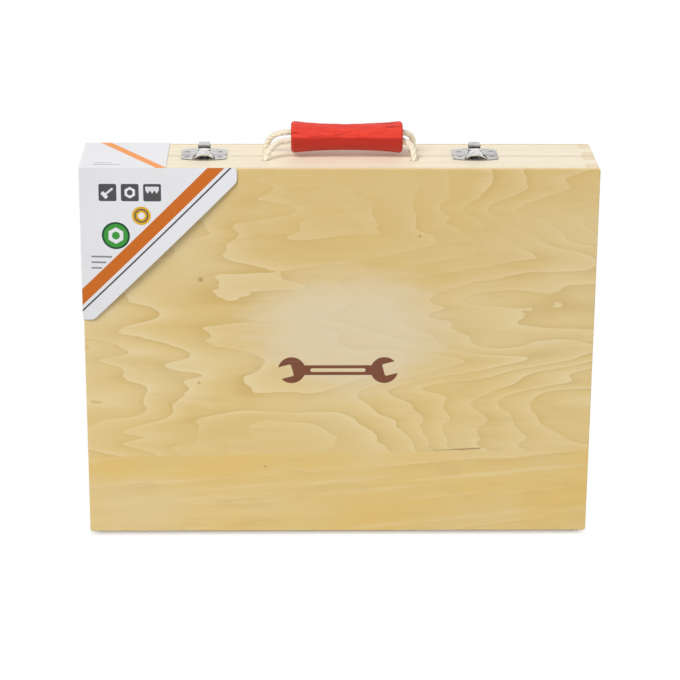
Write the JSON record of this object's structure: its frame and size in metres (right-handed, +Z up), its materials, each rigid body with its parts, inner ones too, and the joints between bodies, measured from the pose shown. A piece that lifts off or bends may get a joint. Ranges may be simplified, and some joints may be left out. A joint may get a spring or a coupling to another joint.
{
  "type": "tool case",
  "caption": "Flat two-part wooden case that stands on its hinge edge, with finger-jointed frames, sprung duck-bill latches, a red waisted grip on ropes and a card corner sleeve.",
  "frame": {"origin": "middle of the bottom edge that the closed case stands on, on the plane where its halves meet", "axes": "+X to the right as seen from the front, +Y from the front panel to the back panel, +Z up"},
  "size_m": [0.3507, 0.0688, 0.2892],
  "materials": {
    "panel_wood": "plain-sawn plywood face, waxed matt",
    "rail_wood": "pale solid softwood, sanded",
    "nickel": "bright nickel plate",
    "spring_steel": "spring steel",
    "zinc": "zinc plate",
    "rope": "laid cotton rope",
    "red_grip": "thin red paint over turned wood",
    "card": "white printed card"
  },
  "bodies": {
    "back_half": {"back_panel": "panel_wood", "back_top_rail": "rail_wood", "back_bottom_rail": "rail_wood", "back_left_rail": "rail_wood", "back_right_rail": "rail_wood", "left_hinge_back_leaf": "zinc", "right_hinge_back_leaf": "zinc", "left_hinge_pin": "zinc", "right_hinge_pin": "zinc", "back_hinge_screws": "zinc", "left_latch_catch": "nickel", "right_latch_catch": "nickel", "latch_catch_screws": "nickel"},
    "front_half": {"front_panel": "panel_wood", "front_top_rail": "rail_wood", "front_bottom_rail": "rail_wood", "front_left_rail": "rail_wood", "front_right_rail": "rail_wood", "left_hinge_front_leaf": "zinc", "right_hinge_front_leaf": "zinc", "front_hinge_screws": "zinc", "left_latch_base": "nickel", "right_latch_base": "nickel", "left_latch_pin": "nickel", "right_latch_pin": "nickel", "left_latch_spring": "spring_steel", "right_latch_spring": "spring_steel", "latch_base_screws": "nickel"},
    "left_lever": {"left_latch_lever": "nickel"},
    "right_lever": {"right_latch_lever": "nickel"},
    "front_handle": {"front_rope": "rope", "grip": "red_grip"},
    "back_handle": {"back_rope": "rope"},
    "sleeve": {"corner_sleeve": "card"}
  },
  "joints": [
    {"name": "lid_hinge", "type": "hinge", "parent": "back_half", "child": "front_half", "pos_m": [0, 0, 0.002], "axis": [1, 0, 0], "range_deg": [0, 120]},
    {"name": "left_lever_hinge", "type": "hinge", "parent": "front_half", "child": "left_lever", "pos_m": [-0.0926, -0.004, 0.2672], "axis": [-1, 0, 0], "range_deg": [0, 10], "stiffness_Nm_per_rad": 0.06, "springref_deg": -8.59, "deforming": ["left_latch_spring"]},
    {"name": "right_lever_hinge", "type": "hinge", "parent": "front_half", "child": "right_lever", "pos_m": [0.0926, -0.004, 0.2672], "axis": [-1, 0, 0], "range_deg": [0, 10], "stiffness_Nm_per_rad": 0.06, "springref_deg": -8.59, "deforming": ["right_latch_spring"]},
    {"name": "handle_lift", "type": "slide", "parent": "front_half", "child": "front_handle", "axis": [0, 0, 1], "range_m": [0, 0.012]},
    {"name": "back_rope_lift", "type": "slide", "parent": "back_half", "child": "back_handle", "axis": [0, 0, 1], "range_m": [0, 0.012]},
    {"name": "sleeve_slide", "type": "slide", "parent": "front_half", "child": "sleeve", "axis": [-0.7071, 0, 0.7071], "range_m": [0, 0.16]}
  ],
  "couplings": [
    {"joint": "back_rope_lift", "follows": "handle_lift", "ratio": 1}
  ]
}
